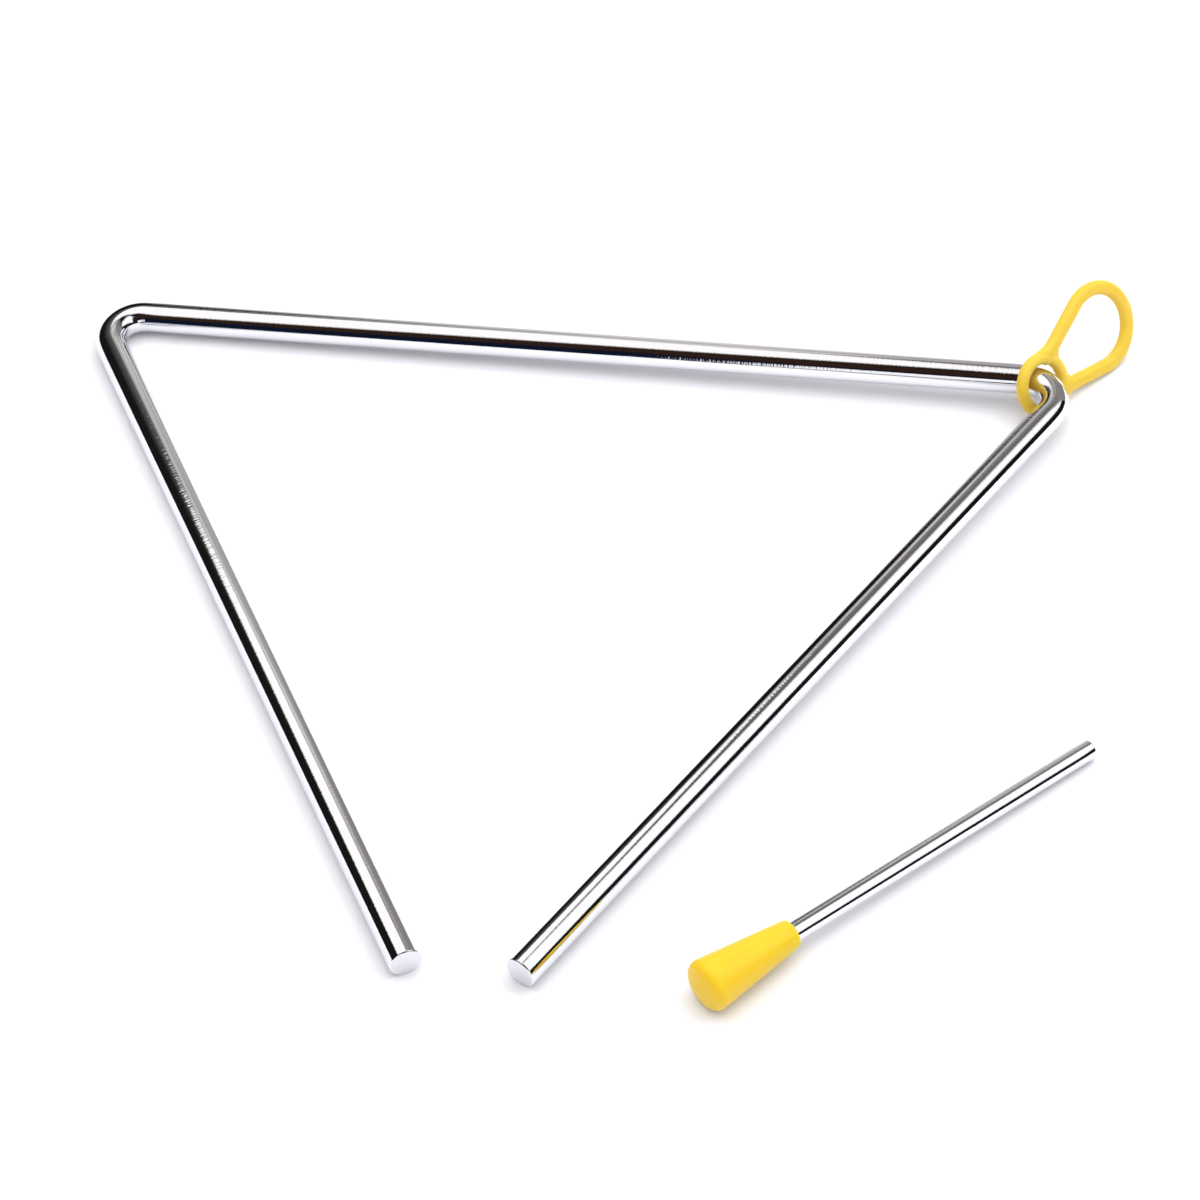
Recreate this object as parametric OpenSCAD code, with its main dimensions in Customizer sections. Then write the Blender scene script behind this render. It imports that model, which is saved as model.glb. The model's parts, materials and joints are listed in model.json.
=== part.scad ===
// Triangle instrument: a round steel bar bent into an open triangle, a moulded holder whose ring
// runs on the bar at one bend and whose loop takes a finger, and a steel beater with a moulded grip.
// It lies on a flat surface at z = 0. The left leg rests on the surface, and the ring under the
// right-hand bend carries the other corner. Millimetres and degrees.

/* [Triangle bar] */
// Width of the triangle across its two bends
outer_w = 254; // [180:1:320]
// Thickness of the round bar
bar_d = 8; // [6:0.5:12]
// Inner radius of the two bends
bend_inner_r = 4.3; // [4:0.1:12]
// How far each leg stops short of the point where the two legs would meet
corner_gap = 26; // [14:1:60]
// How much slimmer the bar's radius gets where it is bent
bend_thin = 0.05; // [0.02:0.01:0.15]
// Bevel round the two cut ends of the bar
bar_bevel = 0.4; // [0.1:0.1:1]

/* [Holder ring] */
// Thickness of the ring's round band
ring_t = 3.2; // [2:0.1:4]
// Room between the bar and the leaning ring where they come closest
ring_play = 0.5; // [0.4:0.05:1.5]
// How far the ring leans over from upright, in degrees
ring_lean_angle = 29; // [10:1:40]
// Where the ring sits on its bend, in degrees from the middle of the bend towards the top bar
ring_turn_angle = 21.5; // [0:0.5:45]

/* [Finger loop] */
// Width of the opening for a finger
finger_w = 17.3; // [15:0.1:22]
// Distance from the middle of the ring to the middle of the loop's round end
loop_reach = 23.4; // [20:0.1:32]
// Angle by which each side of the loop runs in towards the ring
loop_taper_angle = 18; // [10:1:20]
// Width of the loop's band, seen from its flat side
band_w = 3.8; // [3.2:0.1:5]
// Thickness of the loop's band
band_t = 3; // [2:0.1:3.2]
// How much slimmer the loop's band is, all round, in its round end than in its straight sides
band_thin = 0.03; // [0.02:0.01:0.1]
// Radius of the webs that fill the corners between the loop and the ring
web_r = 2; // [1:0.1:3]

/* [Beater rod] */
// Length of the beater, from the rim of the grip to the tip of the rod
beater_len = 118.5; // [90:0.5:180]
// Thickness of the rod
rod_d = 5; // [3:0.5:7]
// Bevel round the tip of the rod
rod_bevel = 0.3; // [0.1:0.1:0.8]

/* [Beater grip] */
// Length of the grip
grip_len = 26.4; // [20:0.1:40]
// Thickness of the grip at its thick end
grip_d = 12.7; // [11:0.1:18]
// Thickness of the grip where the rod comes out
grip_mouth_d = 7.2; // [6:0.1:9]
// Rounding of the rim at the thick end
grip_rim_r = 2.4; // [1:0.1:3.5]
// Rounding of the rim where the rod comes out
grip_mouth_r = 0.5; // [0.2:0.1:0.6]
// How far the thick end bulges
grip_dome = 0.8; // [0.3:0.1:1.5]
// How deep the rod sits in the grip
socket_depth = 20; // [12:0.5:22]
// How much wider the socket is than the rod that is pressed into it
socket_play = 0.02; // [0.01:0.01:0.05]

/* [Where the beater lies] */
// Distance of the grip's thick end from the line through the middle of the right leg
beater_aside = 36.3; // [20:0.1:80]
// How far the thick end lies along the right leg from the leg's cut end
beater_along = 19.6; // [0:0.1:80]
// Angle by which the beater turns away from the right leg, in degrees
beater_splay_angle = 14.7; // [0:0.1:40]

/* [Hidden] */
$fn = 64;

// Overrun of cuts past the faces that they go through
over = 1;
// How far a round stretch runs on inside the straight ones that it joins, in degrees
sunk = 1.5;
// Thickness of the corner webs, as a share of the loop's band
web_t_share = 0.8;
// How far inside the outermost line of a rounded edge its web starts
web_tuck = 0.1;

// The bar's centreline is a triangle with equal sides, drawn flat about its middle. Corner A is
// upper left, B upper right and C, which stays open, is at the bottom.
bar_r = bar_d / 2;
bend_r = bend_inner_r + bar_r;
bend_to_corner = bend_r / sin(30);
side = outer_w - 2 * (bar_r - bend_thin) + 2 * (bend_to_corner * cos(30) - bend_r);
altitude = side * cos(30);
bend_run = bend_r * tan(60);
leg_end = side - corner_gap;
corner_a = [-side / 2, altitude / 3];
corner_b = [side / 2, altitude / 3];
along_left = [cos(60), -sin(60)];
along_right = [-cos(60), -sin(60)];
from_left = [sin(60), cos(60)];

// The ring is just wide enough for the bar to pass at its lean, and it stands on the surface.
ring_r = (bar_r + ring_t / 2 + ring_play) / cos(ring_lean_angle);
ring_z = ring_r * cos(ring_lean_angle) + ring_t / 2;

// The bar runs through the middle of the ring, which lifts corner B off the surface. The whole
// triangle tilts about the left leg's centreline.
bend_b = corner_b - bend_to_corner * from_left;
ring_heading = 30 + ring_turn_angle;
ring_flat = bend_b + bend_r * [cos(ring_heading), sin(ring_heading)];
bar_tilt = asin((ring_z - bar_r) / ((ring_flat - corner_a) * from_left));

// Place of a point of the flat triangle once the triangle is tilted.
function laid(p) =
    let (reach = (p - corner_a) * from_left)
    let (moved = p - from_left * reach * (1 - cos(bar_tilt)))
    [moved[0], moved[1], bar_r + reach * sin(bar_tilt)];

// The loop's round end stands on the surface too, which sets the roll of the holder in its plane.
loop_r = (finger_w + band_w) / 2;
loop_core_r = loop_r + (band_w - band_t) / 2;
loop_edge_r = band_t / 2 - band_thin;
loop_z = loop_core_r * cos(ring_lean_angle) + loop_edge_r;
holder_roll = asin((loop_z - ring_z) / (loop_reach * cos(ring_lean_angle)));
ring_at = laid(ring_flat);
ring_axis = [
    cos(ring_lean_angle) * sin(ring_heading),
    -cos(ring_lean_angle) * cos(ring_heading),
    sin(ring_lean_angle)
];
loop_dir = [
    cos(holder_roll) * cos(ring_heading) - sin(holder_roll) * sin(ring_lean_angle) * sin(ring_heading),
    cos(holder_roll) * sin(ring_heading) + sin(holder_roll) * sin(ring_lean_angle) * cos(ring_heading),
    sin(holder_roll) * cos(ring_lean_angle)
];
loop_at = ring_at + loop_reach * loop_dir;

// Each side of the loop is a straight limb. Its line passes the middle of the ring at limb_off.
limb_off = loop_r - loop_reach * sin(loop_taper_angle);
limb_in = sqrt(pow(ring_r, 2) - pow(limb_off, 2));
limb_out = loop_reach * cos(loop_taper_angle);
ring_outer_r = ring_r + ring_t / 2;

// The beater lies on the rim of its thick end and on the tip of its rod.
rod_r = rod_d / 2;
grip_r = grip_d / 2;
rim_core_r = grip_r - grip_rim_r;
rest_span = beater_len - rod_bevel - grip_rim_r;
rest_drop = rim_core_r - rod_r;
beater_sink = atan(rest_drop / rest_span) + asin(grip_rim_r / norm([rest_span, rest_drop]));
beater_heading = 60 - beater_splay_angle;
beater_dir = [
    cos(beater_sink) * cos(beater_heading),
    cos(beater_sink) * sin(beater_heading),
    -sin(beater_sink)
];
leg_tip = corner_b + leg_end * along_right;
grip_flat = leg_tip - beater_along * along_right + beater_aside * [sin(60), -cos(60)];
grip_z = rim_core_r * cos(beater_sink) + grip_rim_r * (1 + sin(beater_sink));
grip_at = [grip_flat[0], grip_flat[1], grip_z];
rod_in = grip_len - socket_depth;

// How far a circle of radius core_r, thickened by edge_r all round, reaches along axis number k.
function reach_of(core_r, edge_r, axis, k) = core_r * sqrt(1 - pow(axis[k], 2)) + edge_r;

// The origin is under the middle of the box that holds all the pieces.
rod_tip = grip_at + beater_len * beater_dir;
rim_at = grip_at + grip_rim_r * beater_dir;
x_low = -outer_w / 2;
x_high = max(
    loop_at[0] + reach_of(loop_core_r, loop_edge_r, ring_axis, 0),
    rod_tip[0] + reach_of(rod_r - rod_bevel, 0, beater_dir, 0),
    outer_w / 2
);
y_low = min(
    rim_at[1] - reach_of(rim_core_r, grip_rim_r, beater_dir, 1),
    leg_tip[1] - (bar_r - bar_bevel) * sin(30)
);
y_high = max(
    loop_at[1] + reach_of(loop_core_r, loop_edge_r, ring_axis, 1),
    corner_a[1] + bar_r
);
middle = [(x_low + x_high) / 2, (y_low + y_high) / 2, 0];

// One leg from its bend to its cut end, along +X.
module leg() {
    leg_len = leg_end - bend_run;
    rotate([90, 0, 90]) {
        cylinder(r = bar_r, h = leg_len - bar_bevel);
        translate([0, 0, leg_len - bar_bevel])
            cylinder(r1 = bar_r, r2 = bar_r - bar_bevel, h = bar_bevel);
    }
}

// One bend of 120 degrees to the right, from a bar that comes along +X. What follows it is drawn
// along +X too and carries on from the bend's far end.
module bend() {
    translate([0, -bend_r, 0]) {
        rotate_extrude(angle = 120 + 2 * sunk, start = -30 - sunk)
            translate([bend_r, 0])
                circle(r = bar_r - bend_thin);
        rotate([0, 0, -120])
            translate([0, bend_r, 0])
                children();
    }
}

// The bent bar in its own plane, drawn from the left leg round to the right one, each stretch from
// the end of the one before it.
module bar_flat() {
    top_len = side - 2 * bend_run;
    translate(corner_a + bend_run * along_left)
        rotate([0, 0, 120]) {
            mirror([1, 0, 0])
                leg();
            bend() {
                rotate([0, 90, 0])
                    cylinder(r = bar_r, h = top_len);
                translate([top_len, 0, 0])
                    bend()
                        leg();
            }
        }
}

// The bar as it lies, tilted about its left leg.
module triangle_bar() {
    color("silver")
        translate([0, 0, bar_r] - middle)
            translate(corner_a)
                rotate(a = bar_tilt, v = [along_left[0], along_left[1], 0])
                    translate(-corner_a)
                        bar_flat();
}

// Section of the loop's band: flat faces with fully rounded edges, its width along X.
module band_section(thinner = 0) {
    flat_w = band_w - band_t;
    square([flat_w, band_t - 2 * thinner], center = true);
    for (edge = [-1, 1])
        translate([edge * flat_w / 2, 0])
            circle(d = band_t - 2 * thinner);
}

// Outline that fills the corner between the ring and one edge of a limb that runs along +X. The
// fillet's circle runs into the ring's rim and the limb's edge just inside their outermost lines.
module corner_outline(edge_side) {
    rim_r = ring_outer_r - web_tuck + web_r;
    fillet_y = limb_off + edge_side * (band_w / 2 - web_tuck + web_r);
    fillet_x = sqrt(pow(rim_r, 2) - pow(fillet_y, 2));
    on_ring = [fillet_x, fillet_y] * ring_r / rim_r;
    difference() {
        polygon([[limb_in, limb_off], [fillet_x, limb_off], [fillet_x, fillet_y], on_ring]);
        translate([fillet_x, fillet_y])
            circle(r = web_r);
    }
}

// One side of the loop: the limb from the round end's far edge in to the ring, and a web in each
// of the two corners that it makes with the ring.
module limb() {
    translate([loop_reach, 0, 0])
        rotate([0, 0, loop_taper_angle])
            translate([0, loop_r, 0])
                rotate([90, 0, -90])
                    linear_extrude(height = limb_out - limb_in)
                        band_section();
    rotate([0, 0, loop_taper_angle])
        for (edge_side = [-1, 1])
            linear_extrude(height = band_t * web_t_share, center = true)
                corner_outline(edge_side);
}

// The holder in its own plane, with the middle of its ring at the origin and its loop along +X.
module holder_flat() {
    rotate_extrude()
        translate([ring_r, 0])
            circle(d = ring_t);
    translate([loop_reach, 0, 0])
        rotate_extrude(angle = 180 + 2 * (loop_taper_angle + sunk), start = -90 - loop_taper_angle - sunk)
            translate([loop_r, 0])
                band_section(thinner = band_thin);
    limb();
    mirror([0, 1, 0])
        limb();
}

// The holder as it lies, with its ring round the bar and its loop beside the corner.
module holder() {
    color("gold")
        translate(ring_at - middle)
            rotate([90 - ring_lean_angle, 0, ring_heading])
                rotate([0, 0, holder_roll])
                    holder_flat();
}

// Puts what is drawn along +Z from the rim of the grip where the beater lies.
module beater_place() {
    translate(grip_at - middle)
        rotate([0, 90 + beater_sink, beater_heading])
            children();
}

// The rod, from the bottom of its socket to its bevelled tip.
module beater_rod() {
    color("silver")
        beater_place() {
            translate([0, 0, rod_in])
                cylinder(r = rod_r, h = beater_len - rod_in - rod_bevel);
            translate([0, 0, beater_len - rod_bevel])
                cylinder(r1 = rod_r, r2 = rod_r - rod_bevel, h = rod_bevel);
        }
}

// Half section of the grip: two rounded rims joined by a straight taper that touches both.
module grip_outline() {
    rim = [rim_core_r, grip_rim_r];
    mouth = [grip_mouth_d / 2 - grip_mouth_r, grip_len - grip_mouth_r];
    run = mouth - rim;
    slope = atan(-run[0] / run[1]) + asin((grip_rim_r - grip_mouth_r) / norm(run));
    out = [cos(slope), sin(slope)];
    dome_r = (pow(rim_core_r, 2) + pow(grip_dome, 2)) / (2 * grip_dome);
    polygon([
        [0, 0],
        [rim[0], 0],
        rim,
        rim + grip_rim_r * out,
        mouth + grip_mouth_r * out,
        mouth,
        [mouth[0], grip_len],
        [0, grip_len]
    ]);
    translate(rim)
        circle(r = grip_rim_r);
    translate(mouth)
        circle(r = grip_mouth_r);
    intersection() {
        translate([0, dome_r - grip_dome])
            circle(r = dome_r);
        translate([0, -grip_dome])
            square([grip_r, grip_dome]);
    }
}

// The grip: a turned form with a blind socket for the rod.
module beater_grip() {
    color("gold")
        beater_place()
            difference() {
                rotate_extrude()
                    grip_outline();
                translate([0, 0, rod_in - socket_play])
                    cylinder(r = rod_r + socket_play / 2, h = socket_depth + socket_play + over);
            }
}

triangle_bar();
holder();
beater_rod();
beater_grip();
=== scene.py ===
"""Triangle instrument with a finger-loop holder and a beater, dressed for the camera.

A chrome-plated bar bent into an open triangle, a yellow moulded holder whose ring runs on the bar,
and a chrome-plated beater in a yellow moulded grip, on a white studio table. Sizes are in
millimetres and turn to metres where a mesh is made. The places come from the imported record.
"""

import json
import logging
import math
from dataclasses import dataclass
from enum import Enum
from typing import Any, Callable, Optional, Sequence

import bpy
import numpy as np
from bpy.types import Material, Node, NodeSocket, NodeTree, Object
from mathutils import Matrix, Vector


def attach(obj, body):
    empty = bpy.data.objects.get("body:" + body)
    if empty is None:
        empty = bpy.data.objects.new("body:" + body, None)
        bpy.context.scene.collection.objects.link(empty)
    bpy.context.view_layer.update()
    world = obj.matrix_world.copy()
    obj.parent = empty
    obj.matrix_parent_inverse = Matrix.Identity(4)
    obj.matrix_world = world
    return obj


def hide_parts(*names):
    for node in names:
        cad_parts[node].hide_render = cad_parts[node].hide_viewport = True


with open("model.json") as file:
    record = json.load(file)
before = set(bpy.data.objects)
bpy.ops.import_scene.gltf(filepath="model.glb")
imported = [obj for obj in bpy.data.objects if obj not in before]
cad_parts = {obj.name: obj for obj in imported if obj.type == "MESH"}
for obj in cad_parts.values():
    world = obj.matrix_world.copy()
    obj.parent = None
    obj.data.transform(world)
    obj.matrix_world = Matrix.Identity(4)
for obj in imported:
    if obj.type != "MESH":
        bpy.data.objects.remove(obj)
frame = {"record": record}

Array = np.ndarray

MM = 0.001
LOG = logging.getLogger("triangle")
STRAIGHTENED = "straightened_mm"
WORKED = "worked_share"
WHITE = "#FFFFFF"
HALF_CORNER = math.radians(30.0)
FACE_SHARES = np.array([0.5, 0.97])
SAME_POINT_MM = 1e-6
SLOPE_STEP_MM = 0.01
LEVEL_ROUNDS = 3
LEAST_SLOPE = 0.05
LONGEST_MOVE_MM = 0.2

# Tipped a little, so that a lamp straight above its aim still has a right-hand side.
SKYWARD = (0.0, 0.01, 1.0)


def unit(vectors: Sequence[float] | Array) -> Array:
    """Gives one vector, or each row of vectors, at length one."""
    array = np.asarray(vectors, float)
    return array / np.linalg.norm(array, axis=-1, keepdims=True)


def linear_colour(hex_colour: str) -> tuple[float, float, float, float]:
    """Turns an sRGB hex colour into linear light.

    Args:
        hex_colour: Six hex digits with a leading hash sign.

    Returns:
        Red, green and blue in linear light, and an alpha of one.
    """
    parts = np.array([int(hex_colour[i:i + 2], 16) / 255 for i in (1, 3, 5)])
    curved = np.where(parts <= 0.04045, parts / 12.92, ((parts + 0.055) / 1.055) ** 2.4)
    return (*(float(part) for part in curved), 1.0)


def smooth_step(values: Array) -> Array:
    """Eases from 0 to 1: three times the square less twice the cube, held outside 0 to 1."""
    held = np.clip(values, 0.0, 1.0)
    return held * held * (3.0 - 2.0 * held)


@dataclass(frozen=True)
class Axes:
    """Local axes in the row frame, in millimetres."""

    origin: Array
    x_axis: Array
    y_axis: Array
    z_axis: Array

    def to_row(self, points: Array) -> Array:
        """Carries local points into the row frame: the origin plus each axis times its share."""
        return self.origin + points @ np.stack([self.x_axis, self.y_axis, self.z_axis])

    def matrix(self) -> Matrix:
        """Gives the place and turn of a lamp or camera that stands in these axes, in metres."""
        columns = [self.x_axis, self.y_axis, self.z_axis, self.origin * MM]
        return Matrix([*np.stack(columns, axis=1).tolist(), [0.0, 0.0, 0.0, 1.0]])


@dataclass(frozen=True)
class RecordPlaces:
    """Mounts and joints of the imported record, in millimetres."""

    record: dict[str, Any]

    def row(self, name: str) -> dict[str, Any]:
        """Gives the mount or the joint of that name."""
        rows = (*self.record["mounts"], *self.record["behaviour"]["joints"])
        return next(row for row in rows if row["name"] == name)

    def line(self, name: str) -> tuple[Array, Array]:
        """Gives a mount's or a joint's place in millimetres, and its direction at length one."""
        row = self.row(name)
        return np.array(row["pos_m"]) / MM, unit(row["axis"])


def polar_rings(radius: Array, height: Array, around: int) -> Array:
    """Sets rings round Z: the radius times cosine and sine of even turns, and the height.

    Args:
        radius: Radius of each ring.
        height: Height of each ring.
        around: Points in a ring.

    Returns:
        The points, indexed by ring, place round the ring, and x, y, z.
    """
    turn = np.linspace(0.0, 2 * math.pi, around, endpoint=False)
    wide = radius[:, None]
    return np.stack(np.broadcast_arrays(
        wide * np.cos(turn), wide * np.sin(turn), height[:, None]
    ), axis=-1)


def rounded_end(radius: float, corner: float, steps: int) -> tuple[Array, ...]:
    """Profile of a cut end: two rings on its face, then a quarter round out to the bar's wall.

    There the radius falls short by the corner times one less the sine, and the place along the
    bar is the corner times one less the cosine.

    Args:
        radius: The bar's radius.
        corner: Radius of the quarter round.
        steps: Rings on the quarter round.

    Returns:
        Each ring's radius, its distance in from the face, and how far its normal tips from out
        of the bar's side, 0, to out of the face, 1.
    """
    quarter = np.linspace(0.0, math.pi / 2, steps)
    flat = np.zeros(len(FACE_SHARES))
    parts = (
        (FACE_SHARES * (radius - corner), radius - corner * (1 - np.sin(quarter))),
        (flat, corner * (1 - np.cos(quarter))),
        (flat + 1.0, np.cos(quarter)),
    )
    return tuple(np.concatenate(part) for part in parts)


def arc(centre: Array, radius: float, start: float, end: float, steps: int) -> Array:
    """Sets points on an arc: the centre plus the radius times cosine and sine of each angle."""
    turn = np.linspace(start, end, steps)[:, None]
    return centre + radius * np.hstack([np.cos(turn), np.sin(turn)])


def ring_quads(count: int, around: int) -> Array:
    """Joins rings: a point, the next one round, and the same two on the ring above.

    Args:
        count: How many rings there are.
        around: Points in a ring.

    Returns:
        Four point numbers a quad.
    """
    ring, turn = np.meshgrid(np.arange(count - 1), np.arange(around), indexing="ij")
    after = (turn + 1) % around
    low, high = ring * around, (ring + 1) * around
    return np.stack([low + turn, low + after, high + after, high + turn], axis=-1).reshape(-1, 4)


def pole_fan(first: int, around: int, pole: int) -> Array:
    """Joins a ring, from its first point on, to a pole: a point, the next one and the pole."""
    spin = first + np.arange(around)
    return np.stack([spin, np.roll(spin, -1), np.full(around, pole)], axis=-1)


def with_poles(rings: Array) -> Array:
    """Lists what belongs to each ring point, then its mean over the first and the last ring."""
    return np.concatenate([rings.reshape(-1, 3), rings[[0, -1]].mean(axis=1)])


def closed_tube(rings: Array) -> tuple[Array, list[list[int]]]:
    """Skins a row of rings: quads between neighbours, and a fan to a pole at each end.

    Args:
        rings: Ring points, indexed by ring, place round the ring, and x, y, z. Each ring turns
            anticlockwise about the way in which the rings follow each other.

    Returns:
        The points and the faces.
    """
    count, around, _ = rings.shape
    pole = count * around
    start = pole_fan(0, around, pole)[:, [1, 0, 2]]
    end = pole_fan(pole - around, around, pole + 1)
    quads = ring_quads(count, around)
    return with_poles(rings), [*quads.tolist(), *start.tolist(), *end.tolist()]


def stand(name: str, data: Any) -> Object:
    """Makes an object and links it to the scene.

    Args:
        name: The object's name.
        data: Its mesh, lamp or camera.

    Returns:
        The object.
    """
    made = bpy.data.objects.new(name, data)
    bpy.context.scene.collection.objects.link(made)
    return made


def mesh_object(
    name: str, points: Array, faces: Sequence[Sequence[int]], finish: Material,
) -> Object:
    """Makes a smooth-shaded mesh object at the origin.

    Args:
        name: The piece's name.
        points: Points in the row frame, in millimetres.
        faces: Point numbers of each face, anticlockwise as seen from outside.
        finish: Its material.

    Returns:
        The new object, linked to the scene.
    """
    mesh = bpy.data.meshes.new(name)
    mesh.from_pydata((points * MM).tolist(), [], faces, shade_flat=False)
    mesh.validate()
    mesh.materials.append(finish)
    return stand(name, mesh)


def point_vectors(piece: Object, name: str, rings: Array) -> None:
    """Stores a vector for each ring point and pole of a piece, for its finish to read."""
    attribute = piece.data.attributes.new(name, "FLOAT_VECTOR", "POINT")
    attribute.data.foreach_set("vector", with_poles(rings).astype(np.float32).ravel())


def add_node(tree: NodeTree, kind: str, **settings: Any) -> Node:
    """Adds a node, sets it up and links it.

    Args:
        tree: The node tree that it goes into.
        kind: The node's type name after ShaderNode.
        settings: Properties by name, then sockets by name or number, with in_ before it and
            underscores for its spaces. A socket gets a value, an output or a node, which stands
            for its first output.

    Returns:
        The new node.
    """
    node = tree.nodes.new("ShaderNode" + kind)
    for key, value in settings.items():
        label = key.removeprefix("in_")
        if label == key:
            setattr(node, key, value)
            continue
        socket = node.inputs[int(label) if label.isdigit() else label.replace("_", " ")]
        if isinstance(value, Node):
            value = value.outputs[0]
        if isinstance(value, NodeSocket):
            tree.links.new(value, socket)
        else:
            socket.default_value = value
    return node


def new_material(name: str) -> tuple[Material, NodeTree]:
    """Makes an empty node material.

    Args:
        name: The material's name.

    Returns:
        The material and its node tree.
    """
    material = bpy.data.materials.new(name)
    material.use_nodes = True
    material.node_tree.nodes.clear()
    return material, material.node_tree


def noise(tree: NodeTree, place: NodeSocket, spot: float, detail: float) -> NodeSocket:
    """Adds a noise, 0 to 1, with spots of that size in the place's own unit."""
    return add_node(
        tree, "TexNoise", in_Vector=place, in_Scale=1.0 / spot, in_Detail=detail,
    ).outputs["Fac"]


def mixed_colour(tree: NodeTree, share: NodeSocket, first: str, second: str) -> NodeSocket:
    """Mixes two sRGB hex colours: the mix node's sockets 6 and 7, with its output 2."""
    return add_node(
        tree, "Mix", data_type="RGBA", in_0=share,
        in_6=linear_colour(first), in_7=linear_colour(second),
    ).outputs[2]


@dataclass(frozen=True)
class Relief:
    """One layer of fine relief on a surface: noise with a real size and a real depth."""

    spot_mm: float
    depth_mm: float
    detail: float

    def over(
        self, tree: NodeTree, place: NodeSocket, normal: Optional[NodeSocket] = None,
        share: Optional[NodeSocket] = None, mm: float = 1.0,
    ) -> NodeSocket:
        """Adds the layer as a bump on what lies under it.

        Args:
            tree: The node tree.
            place: The socket with the place.
            normal: The normal of the layers underneath, if there are any.
            share: How much of the layer shows, if it isn't all of it everywhere.
            mm: A millimetre in the place's own unit.

        Returns:
            The socket with the new normal.
        """
        height = noise(tree, place, self.spot_mm * mm, self.detail)
        if share is not None:
            height = add_node(tree, "Math", operation="MULTIPLY", in_0=height, in_1=share)
        under = {} if normal is None else {"in_Normal": normal}
        return add_node(
            tree, "Bump", in_Height=height, in_Distance=self.depth_mm * MM, **under,
        ).outputs["Normal"]


@dataclass(frozen=True)
class ChromePlate:
    """Bright nickel-chrome plate on drawn steel bar, polished across before it was plated.

    The plate is a mirror, so what the eye sees is the room in bands along the bar. Fine polishing
    lines across the bar and tiny pits break those bands up where they end.
    """

    name: str = "nickel_chrome_plate_on_drawn_steel"
    colour: str = "#E4E4E8"
    roughness: float = 0.035
    cut_roughness: float = 0.34
    waves: Relief = Relief(spot_mm=9.0, depth_mm=0.006, detail=1.0)
    lines: Relief = Relief(spot_mm=0.6, depth_mm=0.02, detail=2.0)
    line_stretch: float = 5.0
    pits: Relief = Relief(spot_mm=0.5, depth_mm=0.004, detail=3.0)
    ripples: Relief = Relief(spot_mm=1.5, depth_mm=0.05, detail=1.0)

    def material(self) -> Material:
        """Builds the plate: a metal whose bump is slow waves, polishing lines, pits and ripples.

        The ripples are where a bend squeezed its inner side. The cut faces are duller, because
        they were ground and not polished before the plating.

        Returns:
            The material.
        """
        made, tree = new_material(self.name)
        place, worked = (
            add_node(tree, "Attribute", attribute_name=name).outputs["Vector"]
            for name in (STRAIGHTENED, WORKED)
        )
        squeezed, cut, _ = add_node(tree, "SeparateXYZ", in_0=worked).outputs
        narrow = 1.0 / self.line_stretch
        across = add_node(
            tree, "VectorMath", operation="MULTIPLY", in_0=place, in_1=(1.0, narrow, narrow),
        ).outputs[0]
        normal = self.waves.over(tree, place)
        normal = self.lines.over(tree, across, normal)
        normal = self.pits.over(tree, place, normal)
        normal = self.ripples.over(tree, across, normal, squeezed)
        dulled = add_node(
            tree, "MapRange", in_Value=cut,
            in_To_Min=self.roughness, in_To_Max=self.cut_roughness,
        )
        shader = add_node(
            tree, "BsdfPrincipled", in_Base_Color=linear_colour(self.colour),
            in_Metallic=1.0, in_Roughness=dulled, in_Normal=normal,
        )
        add_node(tree, "OutputMaterial", in_Surface=shader)
        return made


@dataclass(frozen=True)
class MouldedPlastic:
    """Soft yellow thermoplastic, injection moulded in a fine satin mould.

    Light goes a little way in, so its shade side stays warm and saturated. The satin mould face
    gives one broad soft highlight and no mirror.
    """

    name: str
    colour: str = "#DFC020"
    deep_colour: str = "#DBB418"
    flow_mm: float = 12.0
    flow_detail: float = 2.0
    grain: Relief = Relief(spot_mm=0.3, depth_mm=0.002, detail=3.0)
    roughness: float = 0.36
    bending_index: float = 1.42
    scatter_mm: float = 5.0
    scatter_share: float = 0.75
    scatter_tint: tuple[float, float, float] = (1.0, 0.65, 0.2)

    def material(self) -> Material:
        """Builds the plastic: a slow drift of colour, a satin grain and shallow scattering.

        Returns:
            The material.
        """
        made, tree = new_material(self.name)
        place = add_node(tree, "TexCoord").outputs["Object"]
        flow = noise(tree, place, self.flow_mm * MM, self.flow_detail)
        shader = add_node(
            tree, "BsdfPrincipled",
            in_Base_Color=mixed_colour(tree, flow, self.colour, self.deep_colour),
            in_Roughness=self.roughness, in_IOR=self.bending_index,
            in_Normal=self.grain.over(tree, place, mm=MM),
            in_Subsurface_Weight=self.scatter_share, in_Subsurface_Scale=self.scatter_mm * MM,
            in_Subsurface_Radius=self.scatter_tint,
        )
        add_node(tree, "OutputMaterial", in_Surface=shader)
        return made


class BarRoute(Enum):
    """Kinds of stretch that the bar's centreline is made of."""

    STRAIGHT = "straight"
    BEND = "bend"


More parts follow.
